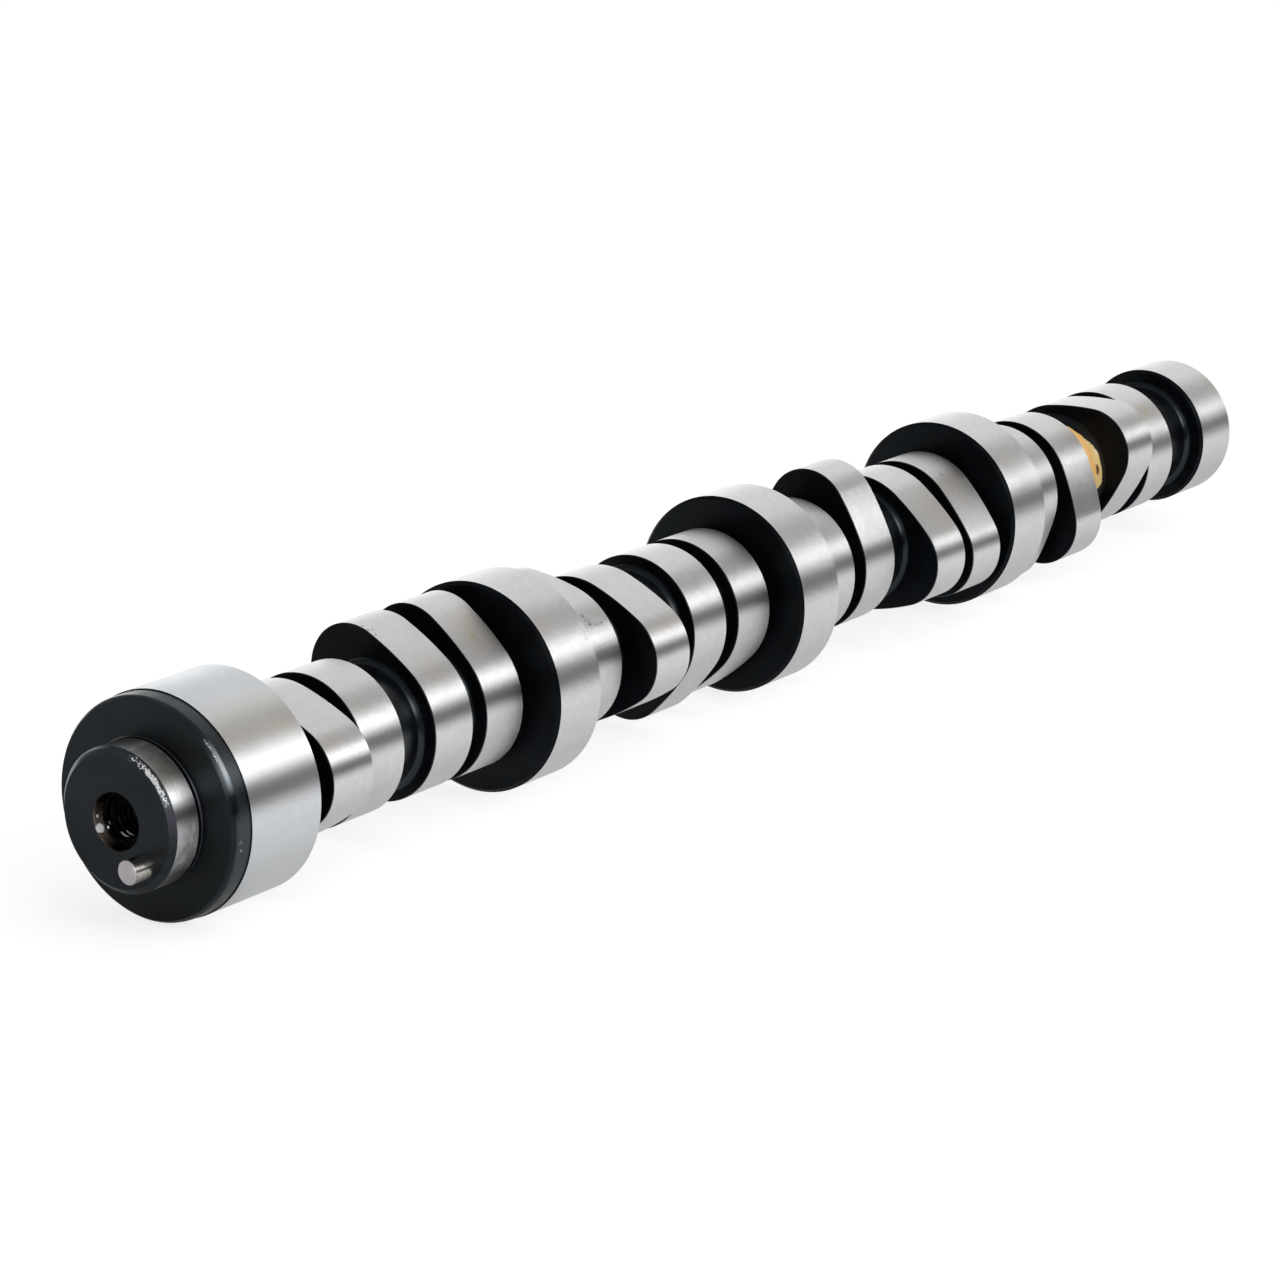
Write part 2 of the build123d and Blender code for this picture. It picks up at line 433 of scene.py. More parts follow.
def steel_colour(nodes, tone, speckle, mottle):
    """The ground steel's colour before the snout's own wear and its painted light and shade."""
    colour = nodes.mix(nodes.scale(tone, 0.3, 0.7), STEEL_DARK, STEEL_LIGHT)
    colour = nodes.mix(nodes.scale(mottle, 0.34, 0.66, 0.5, 0.0), colour, STEEL_MOTTLE)
    colour = nodes.mix(nodes.scale(speckle, 0.36, 0.64, 0.35, 0.0), colour, STEEL_MOTTLE)
    colour = nodes.mix(nodes.times(warm_stains(nodes), 0.75), colour, STEEL_YELLOWED)
    colour = nodes.mix(nodes.times(rust_spots(nodes), 0.75), colour, LIGHT_RUST)
    # The front journal and the snout are a little cooler, with a warmer band on the upper side
    # that is painted warm light.
    front_end = JOURNALS[0][1]
    on_front = nodes.scale(nodes.along(), front_end - 0.2, front_end + 0.5, 0.5, 0.0)
    painted_warm_band = nodes.between(nodes.turn(), 30.0, 52.0, 5.0)
    return nodes.mix(on_front, colour, nodes.mix(painted_warm_band, FRONT_COOL, FRONT_PAINTED_WARM_LIGHT))


def snout_wear_and_painted_light(nodes, colour, mottle):
    """The snout's scuffs and film, its far side darkened as painted shade, and bands dulled so
    that they show lighter as painted light: its colour, and how much it is dulled.
    """
    turn = nodes.turn()
    on_snout = nodes.scale(nodes.along(), LAND_START - 0.9, LAND_START - 0.3, 1.0, 0.0)
    smear = nodes.noise(nodes.around(1500.0, 2.4), 1.0, 3.0, 0.65)
    scuffs = nodes.times(on_snout, nodes.scale(smear, 0.35, 0.65, 0.26, 0.0))
    colour = nodes.mix(scuffs, colour, SCUFFED)
    # A thin brown film lies on its upper side. Above and below that it is duller, which makes
    # those bands lighter as painted light.
    uneven = nodes.times(nodes.scale(mottle, 0.36, 0.62, 0.35, 1.0), on_snout)
    film = nodes.times(nodes.between(turn, 15.0, 38.0, 9.0), uneven)
    colour = nodes.mix(nodes.times(film, 0.5), colour, BROWN_FILM)
    upper = nodes.times(nodes.between(turn, 7.0, 12.0, 5.0), uneven)
    lower = nodes.times(nodes.between(turn, 84.0, 122.0, 8.0), uneven)
    dull = nodes.either(
        nodes.times(film, 0.12),
        nodes.times(lower, 0.42),
        nodes.times(upper, 0.2),
    )
    # The far side is darkened as painted shade.
    far = nodes.times(nodes.between(turn, -150.0, -5.0, 11.0), on_snout, 0.68)
    return nodes.mix(far, colour, SNOUT_PAINTED_SHADE), dull


def ground_steel():
    made, nodes, shader = material("ground_steel")
    speckle = nodes.clouds(1100.0, 3.0, 0.7)
    mottle = nodes.clouds(420.0, 4.0, 0.65)
    cloud = nodes.plus(nodes.times(nodes.clouds(70.0, 3.0, 0.55), 0.6), nodes.times(speckle, 0.4))
    streak = nodes.noise(nodes.around(900.0, 5.0), 1.0)
    tone = nodes.plus(nodes.times(streak, 0.22), nodes.times(cloud, 0.78))
    colour = steel_colour(nodes, tone, speckle, mottle)
    colour, dull = snout_wear_and_painted_light(nodes, colour, mottle)
    pits = pit_marks(nodes)
    nodes.put(shader.inputs["Base Color"], nodes.mix(pits, colour, PIT_BROWN))
    nodes.put(shader.inputs["Metallic"], nodes.minus(1.0, dull))
    rough = nodes.plus(nodes.scale(tone, 0.25, 0.75, 0.275, 0.325), nodes.times(pits, 0.3))
    nodes.put(shader.inputs["Roughness"], rough)
    turned(nodes, shader, 0.9)
    # Fine marks and slow waves that run round the shaft, and sunken pits.
    fine = nodes.noise(nodes.around(9000.0, 3.0), 1.0, 3.0, 0.6)
    wave = nodes.noise(nodes.around(160.0, 22.0), 1.0)
    grain = nodes.noise(nodes.around(2600.0, 60.0), 1.0)
    height = nodes.plus(nodes.times(fine, 0.3), nodes.times(wave, 0.6), nodes.times(grain, 0.25))
    height = nodes.minus(height, nodes.times(pits, 0.5))
    nodes.put(shader.inputs["Normal"], nodes.bump(height, 0.4, 0.00004))
    return made


# The black skin.

SKIN_BLACK = (0.0019, 0.0025, 0.0035)
FACE_BLACK = (0.0024, 0.0032, 0.0042)
SNOUT_FACE_BLACK = (0.0092, 0.0108, 0.013)
EDGE_BLACK = (0.006, 0.007, 0.009)
SKIN_TINT = rgb(0.8, 0.92, 1.0)
# The white of the land's bare chips, and of the glints painted on the snout's burr.
BRIGHT_FLECK = rgb(0.86, 0.87, 0.88)
# A painted sheen on the snout's chamfer, and a painted highlight on its rim.
CHAMFER_PAINTED_SHEEN, RIM_PAINTED_HIGHLIGHT = rgb(0.11, 0.1, 0.135), rgb(0.5, 0.51, 0.53)
# A painted highlight on the land's front edge.
LAND_PAINTED_HIGHLIGHT = rgb(0.55, 0.58, 0.62)

# Chips along the land's front edge: x behind its face, turn, half length and half turn.
LAND_CHIPS = (
    (1.1, 44.5, 0.3, 4.0),
    (1.0, 52.0, 0.3, 3.0),
    (2.3, 96.0, 0.5, 1.0),
    (2.7, 100.5, 0.4, 0.8),
)


def black_oxide(
    name, roughness, level, share, base=SKIN_BLACK, wear_and_painted_sheen=None, smooth=None, painted=False
):
    """The black skin, whose gloss has a level and is stretched by a share. Wear and painted sheen
    mask bare chips, a burr painted bright as glints, and a painted sheen and highlight, and smooth
    masks a glossier band."""
    made, nodes, shader = material(name)
    turned(nodes, shader, share)
    cloud = nodes.clouds(120.0, 4.0, 0.6)
    paler = [value * 2.0 for value in base]
    colour = nodes.mix(nodes.scale(cloud, 0.35, 0.7), rgb(*base), rgb(*paler))
    rough = nodes.scale(cloud, 0.3, 0.7, roughness - 0.04, roughness + 0.06)
    turning = nodes.noise(nodes.around(2500.0, 2.0, 2500.0), 1.0)
    height = nodes.plus(nodes.times(turning, 0.6), nodes.times(nodes.clouds(2500.0), 0.4))
    if wear_and_painted_sheen:
        # Bare chips, glints painted on a burr, and a painted sheen and highlight.
        flecks, painted_sheen, tint = wear_and_painted_sheen(nodes)
        colour = nodes.mix(painted_sheen, colour, tint)
        colour = nodes.mix(flecks, colour, BRIGHT_FLECK)
        nodes.put(shader.inputs["Metallic"], nodes.times(nodes.either(flecks, painted_sheen), 0.25))
        height = nodes.plus(height, nodes.times(flecks, 0.2))
    if smooth:
        rough = nodes.minus(rough, nodes.times(smooth(nodes), 0.15))
    if painted:
        paint = paint_mask(nodes)
        colour = nodes.mix(paint, colour, paint_colour(nodes))
        rough = nodes.plus(rough, nodes.times(nodes.either(paint, near_paint(nodes)), 0.25))
    nodes.put(shader.inputs["Base Color"], colour)
    nodes.put(shader.inputs["Roughness"], rough)
    shader.inputs["Specular IOR Level"].default_value = level
    shader.inputs["Specular Tint"].default_value = SKIN_TINT
    nodes.put(shader.inputs["Normal"], nodes.bump(height, 0.35, 0.00003))
    return made


def snout_flecks(nodes):
    """A ragged burr along the snout's chamfer, painted bright as glints where it faces the light,
    a greyer stretch after it as painted sheen, and a painted highlight on the rim.
    """
    radius, turn = nodes.radius(), nodes.turn()
    drift = nodes.minus(nodes.clouds(900.0, 1.0), 0.5)
    band = nodes.between(nodes.plus(radius, drift), SNOUT_R - 1.3, SNOUT_R - 0.5, 0.12)
    # The burr's painted glints are thickest at a turn of 46 degrees.
    from_middle = nodes.math("ABSOLUTE", nodes.minus(turn, 46.0))
    threshold = nodes.scale(from_middle, 5.0, 27.0, 0.39, 0.55)
    flecks = nodes.scale(nodes.minus(nodes.clouds(1900.0, 2.0, 0.6), threshold), 0.0, 0.04)
    flecks = nodes.times(flecks, band, nodes.between(turn, 16.0, 66.0, 3.0))
    # A greyer stretch of painted sheen.
    grey_sheen = nodes.times(nodes.between(turn, 57.0, 86.0, 9.0), 0.5)
    # The chamfer's outer rim has a painted highlight on the far side.
    rim_highlight = nodes.scale(radius, SNOUT_R - 0.9, SNOUT_R - 0.3)
    rim_highlight = nodes.times(nodes.between(turn, -58.0, -15.0, 12.0), rim_highlight)
    tint = nodes.mix(rim_highlight, CHAMFER_PAINTED_SHEEN, RIM_PAINTED_HIGHLIGHT)
    return flecks, nodes.either(grey_sheen, nodes.times(rim_highlight, 0.8)), tint


def land_flecks(nodes):
    """A few fine chips along the land's front edge, and a painted highlight on the edge."""
    chips = nodes.patches([(LAND_START + chip[0], *chip[1:]) for chip in LAND_CHIPS])
    flecks = nodes.times(nodes.scale(nodes.clouds(3200.0), 0.5, 0.58, 0.0, 0.7), chips)
    edge = nodes.between(nodes.along(), LAND_START + 1.0, LAND_START + 2.2, 0.25)
    painted_sheen = nodes.times(edge, nodes.between(nodes.turn(), 47.0, 66.0, 7.0), 0.45)
    return flecks, painted_sheen, LAND_PAINTED_HIGHLIGHT


def land_edge(nodes):
    """The rounding behind the land's chamfer."""
    return nodes.between(nodes.along(), LAND_START + 0.6, LAND_START + 2.3, 0.2)


# The dab of yellow paint on the core behind the fourteenth lobe.

PAINT_START, PAINT_END = 395.2, 407.3
PAINT_FIRST_TURN, PAINT_LAST_TURN = 20.0, 112.5
PAINT_ORANGE, PAINT_YELLOW = rgb(1.0, 0.6, 0.21), rgb(1.0, 0.74, 0.31)
# A brown streak, and a whitish painted highlight.
PAINT_BROWN, PAINT_GLINT = rgb(0.1, 0.04, 0.008), rgb(0.95, 0.9, 0.82)


def paint_mask(nodes):
    along, turn = nodes.along(), nodes.turn()
    wobble = nodes.minus(nodes.clouds(260.0, 1.0), 0.5)
    # The rear edge swings forward at both ends, and is ragged at its upper end.
    ragged = nodes.minus(nodes.clouds(900.0), 0.5)
    edge = nodes.scale(turn, 20.0, 66.0, PAINT_END - 2.6, PAINT_END)
    edge = nodes.minus(edge, nodes.scale(turn, 94.0, 116.0, 0.0, 1.4))
    edge = nodes.plus(edge, nodes.times(wobble, 0.5))
    edge = nodes.plus(edge, nodes.times(ragged, nodes.scale(turn, 52.0, 62.0, 1.3, 0.2)))
    before_edge = nodes.scale(nodes.minus(edge, along), -0.1, 0.1)
    after_start = nodes.scale(along, PAINT_START - 0.1, PAINT_START + 0.1)
    swing = nodes.plus(turn, nodes.times(wobble, 9.0))
    in_turn = nodes.between(swing, PAINT_FIRST_TURN, PAINT_LAST_TURN, 1.0)
    return nodes.times(before_edge, after_start, in_turn)


def near_paint(nodes):
    """The fillet behind the paint, which is duller than the rest of the core."""
    return nodes.between(nodes.along(), PAINT_END - 2.5, PAINT_END + 2.0, 0.3)


def paint_colour(nodes):
    """Orange by the wall in front, paler and yellower behind, with a brown streak and a painted
    highlight at the rear edge.
    """
    place = nodes.plus(nodes.along(), nodes.scale(nodes.clouds(300.0), 0.3, 0.7, -0.8, 0.8))
    rear = nodes.scale(place, PAINT_END - 3.1, PAINT_END - 0.9)
    colour = nodes.mix(rear, PAINT_ORANGE, PAINT_YELLOW)
    streak = nodes.patch(PAINT_END - 1.2, 82.0, 0.75, 7.5)
    colour = nodes.mix(nodes.times(streak, 0.9), colour, PAINT_BROWN)
    # A painted highlight from the fillet behind the paint.
    glint = nodes.patch(PAINT_END - 0.3, 61.5, 0.35, 5.0)
    return nodes.mix(nodes.times(glint, 0.6), colour, PAINT_GLINT)


# Steel inside the hole, and the pin's.

# Glints painted as pale, less metallic spots: x, turn, half length and half turn.
MOUTH_GLINTS = (
    (SNOUT_START + 1.05, -116.5, 1.25, 12.0),
    (SNOUT_START + 1.0, -92.0, 0.35, 4.5),
)
BORE_GLINTS = (
    (BORE_START - 0.3, -121.0, 0.2, 4.0),
    (BORE_START + 0.4, -113.0, 0.2, 6.0),
    (BORE_START + 1.5, -163.0, 0.26, 19.0),
    (BORE_START + 3.25, -165.0, 0.28, 19.0),
)
# A paler brown halo painted round the mouth's glint, as painted light.
MOUTH_HALO_AT = on_shaft(SNOUT_START + 1.0, MOUTH_R, -112.0)
MOUTH_HALO_SIZE = 0.0085
PAINTED_HALO_BROWN = rgb(0.24, 0.19, 0.15)
# The white of the painted glints.
GLINT_WHITE = rgb(0.97, 0.97, 0.97)
PIN_DARK, PIN_LIGHT = rgb(0.62, 0.59, 0.53), rgb(0.74, 0.71, 0.66)
PIN_TIP_COLOUR = rgb(0.87, 0.82, 0.85)


def bore_steel(name, dark, bright, roughness, glints, dulled, haloed=False):
    """Oiled steel inside the hole, with small painted glints, and in its mouth a paler brown halo
    round the glint that is painted light.
    """
    made, nodes, shader = material(name)
    cloud = nodes.clouds(500.0, 3.0)
    colour = nodes.mix(nodes.scale(cloud, 0.35, 0.7), dark, bright)
    spots = nodes.patches(glints)
    dull = nodes.times(spots, dulled)
    if haloed:
        # The halo is painted light round the glint.
        halo = nodes.near(MOUTH_HALO_AT, MOUTH_HALO_SIZE, 0.9)
        halo = nodes.times(halo, nodes.scale(cloud, 0.3, 0.6, 0.5, 1.0))
        colour = nodes.mix(halo, colour, PAINTED_HALO_BROWN)
        dull = nodes.either(dull, nodes.times(halo, 0.45))
    nodes.put(shader.inputs["Base Color"], nodes.mix(spots, colour, GLINT_WHITE))
    nodes.put(shader.inputs["Metallic"], nodes.minus(1.0, dull))
    rough = nodes.scale(cloud, 0.3, 0.7, roughness, roughness + 0.12)
    nodes.put(shader.inputs["Roughness"], nodes.plus(rough, nodes.times(spots, 0.15)))
    nodes.put(shader.inputs["Normal"], nodes.bump(cloud, 0.3, 0.00003))
    return made


def pin_steel():
    """Ground steel with its marks round the pin's own axis, and a plain matt tip."""
    made, nodes, shader = material("pin_steel")
    x, y, z = nodes.separate(nodes.place())
    across = nodes.minus(y, PIN_CENTRE[0] * MM)
    up = nodes.minus(z, PIN_CENTRE[1] * MM)
    unit = nodes.add("ShaderNodeVectorMath", operation="NORMALIZE")
    nodes.put(unit.inputs[0], nodes.combine(0.0, nodes.times(up, -1.0), across))
    nodes.put(shader.inputs["Tangent"], unit.outputs[0])
    shader.inputs["Anisotropic"].default_value = 0.8
    shader.inputs["Anisotropic Rotation"].default_value = 0.25
    cloud = nodes.clouds(700.0)
    side = nodes.mix(nodes.scale(cloud, 0.35, 0.7), PIN_DARK, PIN_LIGHT)
    tip = nodes.scale(x, (PIN_TIP + 0.15) * MM, (PIN_TIP + 0.3) * MM, 1.0, 0.0)
    nodes.put(shader.inputs["Base Color"], nodes.mix(tip, side, PIN_TIP_COLOUR))
    nodes.put(shader.inputs["Metallic"], nodes.minus(1.0, nodes.times(tip, 0.5)))
    nodes.put(shader.inputs["Roughness"], nodes.plus(nodes.times(tip, 0.3), 0.21))
    nodes.put(shader.inputs["Normal"], nodes.bump(cloud, 0.05, 0.00002))
    return made


def body_materials():
    """The shaft's materials, in the order of their places."""
    return [
        ground_steel(),
        black_oxide("black_oxide", roughness=0.36, level=0.12, share=0.6),
        black_oxide("black_core", roughness=0.21, level=0.5, share=0.4, painted=True),
        black_oxide("black_face", roughness=0.34, level=0.42, share=0.6, base=FACE_BLACK),
        black_oxide(
            "black_land", roughness=0.3, level=0.75, share=0.85, wear_and_painted_sheen=land_flecks, smooth=land_edge
        ),
        black_oxide("snout_face", roughness=0.34, level=0.36, share=0.6, base=SNOUT_FACE_BLACK),
        black_oxide(
            "snout_edge", roughness=0.36, level=1.0, share=0.6, base=EDGE_BLACK, wear_and_painted_sheen=snout_flecks
        ),
        bore_steel(
            "mouth_steel",
            dark=rgb(0.008, 0.006, 0.005),
            bright=rgb(0.03, 0.022, 0.015),
            roughness=0.2,
            glints=MOUTH_GLINTS,
            dulled=1.0,
            haloed=True,
        ),
        bore_steel(
            "bore_steel",
            dark=rgb(0.003, 0.003, 0.004),
            bright=rgb(0.014, 0.013, 0.014),
            roughness=0.14,
            glints=BORE_GLINTS,
            dulled=0.85,
        ),
    ]


# Shapes.


def add_object(name, mesh):
    made = bpy.data.objects.new(name, mesh)
    bpy.context.scene.collection.objects.link(made)
    return made


class Rings:
    """A closed skin of rings round the X axis, or a line beside it. Each ring has its x, its
    radius and the material of the band behind it, and may be a sharp corner. The first and the
    last are the points that close the ends."""

    def __init__(self):
        self.places = []

    def add(self, x, radius, slot, sharp=True):
        self.places.append((x, radius, slot, sharp))

    def points(self, centre):
        """All rings' points, then the two end points, in metres."""
        sine, cosine = np.sin(ANGLES), np.cos(ANGLES)
        rings = []
        for x, radius, slot, sharp in self.places[1:-1]:
            radii = np.broadcast_to(radius, (RING_POINTS,))
            sideways = centre[0] - radii * sine
            upwards = centre[1] + radii * cosine
            rings.append(np.stack([np.full(RING_POINTS, x), sideways, upwards], 1))
        ends = [[self.places[0][0], *centre], [self.places[-1][0], *centre]]
        return np.concatenate(rings + [np.array(ends)]) * MM

    def faces(self, front_end, rear_end):
        """Faces and the material place of each."""
        bands = self.places[1:-2]
        faces, slots = [], []
        following = [(here, (here + 1) % RING_POINTS) for here in range(RING_POINTS)]
        for number, band in enumerate(bands):
            near = number * RING_POINTS
            far = near + RING_POINTS
            for here, there in following:
                faces.append((near + here, near + there, far + there, far + here))
            slots += [band[2]] * RING_POINTS
        last = len(bands) * RING_POINTS
        for here, there in following:
            faces.append((front_end, there, here))
            faces.append((rear_end, last + here, last + there))
            slots += [self.places[0][2], self.places[-1][2]]
        return faces, slots

    def mark_sharp(self, mesh):
        """Marks the edges that run along the sharp rings."""
        middle = self.places[1:-1]
        sharp_at = np.repeat([place[3] for place in middle], RING_POINTS)
        sharp_at = np.append(sharp_at, [False, False])
        ring_of = np.append(np.repeat(np.arange(len(middle)), RING_POINTS), [-1, -2])
        ends = np.empty(len(mesh.edges) * 2, int)
        mesh.edges.foreach_get("vertices", ends)
        ends = ends.reshape(-1, 2)
        same = ring_of[ends[:, 0]] == ring_of[ends[:, 1]]
        mesh.edges.foreach_set("use_edge_sharp", same & sharp_at[ends[:, 0]])

    def build(self, name, materials, centre=(0.0, 0.0)):
        points = self.points(centre)
        faces, slots = self.faces(len(points) - 2, len(points) - 1)
        mesh = bpy.data.meshes.new(name)
        mesh.from_pydata(points.tolist(), [], faces)
        for made in materials:
            mesh.materials.append(made)
        mesh.polygons.foreach_set("material_index", slots)
        mesh.polygons.foreach_set("use_smooth", [True] * len(faces))
        self.mark_sharp(mesh)
        mesh.update()
        return add_object(name, mesh)


def lobe_radii(turn, lift):
    """Distance of the lobe's outline from the axis at each of the ring's angles."""
    nose_at = BASE_CIRCLE_R + lift - NOSE_RADIUS
    to_flank = FLANK_RADIUS - BASE_CIRCLE_R
    nose_to_flank = FLANK_RADIUS - NOSE_RADIUS
    cosine = (to_flank**2 + nose_at**2 - nose_to_flank**2) / (2 * to_flank * nose_at)
    flank_angle = math.acos(cosine)
    # The flank arc starts opposite its own centre, and ends opposite the nose's centre.
    flank_start = math.pi - flank_angle
    end_x = nose_at * nose_to_flank + NOSE_RADIUS * (nose_at - to_flank * cosine)
    end_y = NOSE_RADIUS * to_flank * math.sin(flank_angle)
    nose_end = math.atan2(end_y, end_x)
    away = np.abs((ANGLES - math.radians(turn) + math.pi) % (2 * math.pi) - math.pi)
    beside = np.minimum(nose_at * np.sin(away), NOSE_RADIUS)
    nose = nose_at * np.cos(away) + np.sqrt(NOSE_RADIUS**2 - beside**2)
    spread = np.cos(away + flank_angle)
    flank = to_flank * spread + np.sqrt(FLANK_RADIUS**2 - to_flank**2 * (1 - spread**2))
    radii = np.where(away < flank_start, flank, BASE_CIRCLE_R)
    return np.where(away < nose_end, nose, radii)


def lobe_list():
    """Start, end and outline of each lobe, front to rear."""
    second = JOURNALS[1][0]
    pitch = (MOUNTS["third_journal"]["pos_m"][0] - MOUNTS["second_journal"]["pos_m"][0]) / MM
    lobes = []
    for bay in range(BAY_COUNT):
        for offset, phase, lift, bank in BAY_LOBES:
            firing_place = FIRING_ORDER.index(2 * bay + bank)
            turn = phase - 360.0 / len(FIRING_ORDER) * firing_place
            start = second + (bay - 1) * pitch + offset - LOBE_WIDTH / 2
            lobes.append([start, start + LOBE_WIDTH, lobe_radii(turn, lift)])
    lobes[-1][0] += LAST_LOBE_EXTRA
    lobes[-1][1] += LAST_LOBE_EXTRA
    return lobes


def add_hole(rings):
    """The centre hole, from its drilled end out to its mouth."""
    thread_end = BORE_START + BORE_DEPTH
    drill_end = thread_end + DRILL_EXTRA_DEPTH
    rings.add(drill_end + DRILL_R * DRILL_POINT, 0.0, BORE)
    rings.add(drill_end, DRILL_R, BORE)
    rings.add(thread_end, DRILL_R, BORE)
    rings.add(thread_end, BORE_R, BORE)
    rings.add(BORE_START, BORE_R, BORE)
    rings.add(SNOUT_START + MOUTH_DEPTH, MOUTH_END_R, MOUTH)
    rings.add(SNOUT_START + MOUTH_EDGE, MOUTH_R - MOUTH_EDGE, MOUTH)
    rings.add(SNOUT_START, MOUTH_R, SNOUT_FACE)


def add_snout(rings):
    """The snout, its groove and its collar."""
    groove_end = LAND_START - COLLAR_WIDTH
    groove_start = groove_end - GROOVE_WIDTH
    collar_r = SNOUT_R + COLLAR_STEP
    rings.add(SNOUT_START, SNOUT_R - SNOUT_CHAMFER, SNOUT_EDGE)
    rings.add(SNOUT_START + SNOUT_CHAMFER, SNOUT_R, GROUND)
    rings.add(groove_start, SNOUT_R, BLACK)
    rings.add(groove_start, SNOUT_R - GROOVE_DEPTH, BLACK)
    rings.add(groove_end, SNOUT_R - GROOVE_DEPTH, BLACK)
    rings.add(groove_end, collar_r - COLLAR_EDGE, SNOUT_EDGE, False)
    rings.add(groove_end + COLLAR_EDGE, collar_r, SNOUT_EDGE, False)
    rings.add(LAND_START, collar_r, FACE)


def add_land(rings):
    """The land, up to the front journal's ground band."""
    journal_start, journal_end, journal_r = JOURNALS[0]
    land_r = journal_r - LAND_STEP
    rings.add(LAND_START, land_r - LAND_CHAMFER, LAND)
    for along, drop in LAND_ROUNDING:
        rings.add(LAND_START + along, land_r - drop, LAND, False)
    rings.add(journal_start, land_r, LAND)
    rings.add(journal_start, journal_r, GROUND)


def add_neck(rings, start, end):
    """The core between two walls, with a round fillet at each wall."""
    fillet = min(CORE_FILLET, (end - start) * FILLET_SHARE)
    steps = WIDE_STEPS if fillet == CORE_FILLET else NARROW_STEPS
    turns = [math.pi / 2 * number / steps for number in range(steps + 1)]
    for turn in turns:
        x = start + fillet * (1 - math.cos(turn))
        rings.add(x, CORE_R + fillet * (1 - math.sin(turn)), CORE, False)
    for turn in turns:
        x = end - fillet * (1 - math.sin(turn))
        slot = BLACK if turn == turns[-1] else CORE
        rings.add(x, CORE_R + fillet * (1 - math.cos(turn)), slot, False)


def add_bay(rings, bay, lobes):
    """What lies between two journals' ground bands: chamfers, necks and four lobes."""
    end, radius = JOURNALS[bay][1:]
    next_radius = JOURNALS[bay + 1][2]
    next_wall = JOURNALS[bay + 1][0] - JOURNAL_CHAMFER
    wall = end + JOURNAL_CHAMFER
    rings.add(end, radius, LAND)
    rings.add(wall, radius - JOURNAL_CHAMFER, BLACK)
    for lobe_start, lobe_end, radii in lobes:
        add_neck(rings, wall, lobe_start)
        rings.add(lobe_start, radii - LOBE_EDGE, LAND)
        rings.add(lobe_start + LOBE_EDGE, radii, GROUND)
        rings.add(lobe_end - LOBE_EDGE, radii, LAND)
        rings.add(lobe_end, radii - LOBE_EDGE, BLACK)
        wall = lobe_end
    add_neck(rings, wall, next_wall)
    rings.add(next_wall, next_radius - JOURNAL_CHAMFER, BLACK)
    rings.add(next_wall + JOURNAL_CHAMFER, next_radius, GROUND)


def add_rear_end(rings):
    """The rear journal's chamfer, the end face and its centre drilling."""
    end, radius = JOURNALS[-1][1:]
    pilot_start = REAR_END - (CENTRE_MOUTH_R - CENTRE_PILOT_R) * CENTRE_SLOPE
    pilot_end = pilot_start - CENTRE_PILOT_DEPTH
    rings.add(end, radius, LAND)
    rings.add(REAR_END, radius - (REAR_END - end), BLACK)
    rings.add(REAR_END, CENTRE_MOUTH_R, BORE)
    rings.add(pilot_start, CENTRE_PILOT_R, BORE)
    rings.add(pilot_end, CENTRE_PILOT_R, BORE)
    rings.add(pilot_end - CENTRE_PILOT_R * DRILL_POINT, 0.0, BORE)


def make_body(materials):
    rings = Rings()
    add_hole(rings)
    add_snout(rings)
    add_land(rings)
    lobes = lobe_list()
    for bay in range(BAY_COUNT):
        first = bay * len(BAY_LOBES)
        add_bay(rings, bay, lobes[first : first + len(BAY_LOBES)])
    add_rear_end(rings)
    body = rings.build("camshaft_body", materials)
    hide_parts("camshaft")
    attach(body, "root")


def make_thread(steel):
    """The thread's ridge: a tapered strip wound along the hole's wall."""
    crest_r = DRILL_R + THREAD_SINK
    root_r = BORE_R + THREAD_SINK
    section = (
        (-HALF_ROOT, root_r),
        (-HALF_CREST, crest_r),
        (HALF_CREST, crest_r),
        (HALF_ROOT, root_r),
    )
    turns = int((BORE_DEPTH - THREAD_PITCH) / THREAD_PITCH)
    count = turns * THREAD_STEPS + 1
    verts, faces = [], []
    for number in range(count):
        turn = 360.0 * number / THREAD_STEPS
        x = THREAD_START + THREAD_PITCH * number / THREAD_STEPS
        verts += [on_shaft(x + offset, radius, turn) for offset, radius in section]
        if number:
            base = 4 * number
            for side in range(4):
                other = (side + 1) % 4
                faces.append((base - 4 + side, base + side, base + other, base - 4 + other))
    faces.append((0, 1, 2, 3))
    faces.append((4 * count - 1, 4 * count - 2, 4 * count - 3, 4 * count - 4))
    mesh = bpy.data.meshes.new("thread_ridge")
    mesh.from_pydata(verts, [], faces)
    mesh.materials.append(steel)
    mesh.update()
    ridge = add_object("thread_ridge", mesh)
    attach(ridge, "root")


def make_pin():
    rings = Rings()
    rings.add(PIN_TIP, 0.0, 0)
    rings.add(PIN_TIP, PIN_R - PIN_EDGE, 0)
    rings.add(PIN_TIP + PIN_EDGE, PIN_R, 0)
    rings.add(SNOUT_START + PIN_TAPER_DEPTH, PIN_R, 0)
    rings.add(PIN_BOTTOM, PIN_R - PIN_EDGE, 0)
    rings.add(PIN_BOTTOM, 0.0, 0)
    pin = rings.build("dowel_pin_finished", [pin_steel()], PIN_CENTRE)
    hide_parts("dowel_pin")
    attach(pin, "root")


# Studio. Its lengths are in metres.

